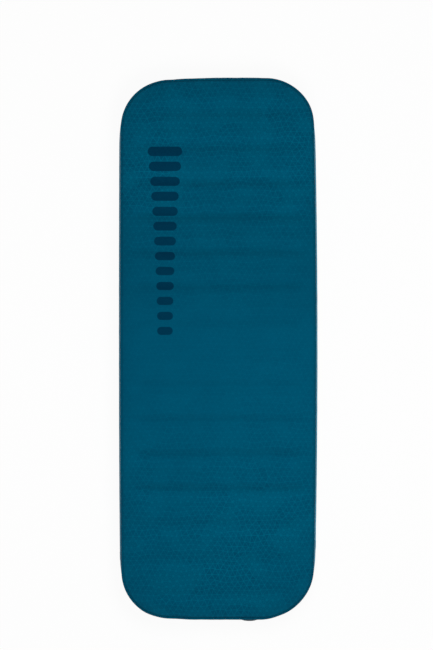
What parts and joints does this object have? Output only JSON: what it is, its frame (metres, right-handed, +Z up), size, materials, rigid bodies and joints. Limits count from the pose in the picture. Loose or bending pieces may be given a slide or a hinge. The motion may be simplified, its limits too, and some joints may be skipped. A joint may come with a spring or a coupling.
{
  "type": "self-inflating sleeping pad",
  "caption": "Thick rectangular camping mattress with round corners, upright side walls, a channelled foam core and a recessed screw-in valve at the foot.",
  "frame": {"origin": "centre of the underside, on the surface that the pad lies on", "axes": "+Z up, +Y along the length towards the head end, +X across the width; the valve is in the wall at the -Y end"},
  "size_m": [0.673, 1.8315, 0.1],
  "materials": {
    "top_fabric": "brushed knit with a tone-on-tone print",
    "wall_fabric": "plain weave, coated inside",
    "base_fabric": "plain weave with grip dots",
    "foam": null,
    "patch_fabric": "coated, welded down",
    "mesh_fabric": "fine open mesh",
    "soft_flange": "satin soft plastic",
    "valve_plastic": "fine matt texture",
    "insert_plastic": "fine matt texture",
    "button_plastic": "smooth",
    "silicone": "smooth satin",
    "seal_rubber": "smooth satin",
    "pin_steel": "drawn wire"
  },
  "bodies": {
    "pad": {"top_sheet": "top_fabric", "base_sheet": "base_fabric", "side_wall_head": "wall_fabric", "side_wall_foot": "wall_fabric", "wall_join_tape_left": "wall_fabric", "wall_join_tape_right": "wall_fabric", "foam_core": "foam", "valve_patch": "patch_fabric", "valve_flange": "soft_flange", "valve_socket": "valve_plastic", "filter_mesh": "mesh_fabric", "filter_ring": "valve_plastic"},
    "seal": {"insert_seal": "seal_rubber"},
    "insert": {"insert_ring": "insert_plastic", "insert_grille": "insert_plastic", "cap_hinge_pin": "pin_steel"},
    "flap": {"one_way_flap": "silicone", "flap_button": "button_plastic"},
    "cap": {"valve_cap": "insert_plastic", "cap_gasket": "seal_rubber"}
  },
  "joints": [
    {"name": "insert_rise", "type": "slide", "parent": "pad", "child": "seal", "axis": [0, -1, 0], "range_m": [0, 0.0045]},
    {"name": "insert_turn", "type": "hinge", "parent": "seal", "child": "insert", "pos_m": [0.105, -0.915, 0.04549], "axis": [0, -1, 0], "range_deg": [0, 540]},
    {"name": "flap_press", "type": "slide", "parent": "insert", "child": "flap", "axis": [0, 1, 0], "range_m": [0, 0.002], "stiffness_N_per_m": 200},
    {"name": "cap_hinge", "type": "hinge", "parent": "insert", "child": "cap", "pos_m": [0.105, -0.9146, 0.06499], "axis": [-1, 0, 0], "range_deg": [0, 125]}
  ],
  "couplings": [
    {"joint": "insert_rise", "follows": "insert_turn", "m_per_rad": 0.000477}
  ]
}
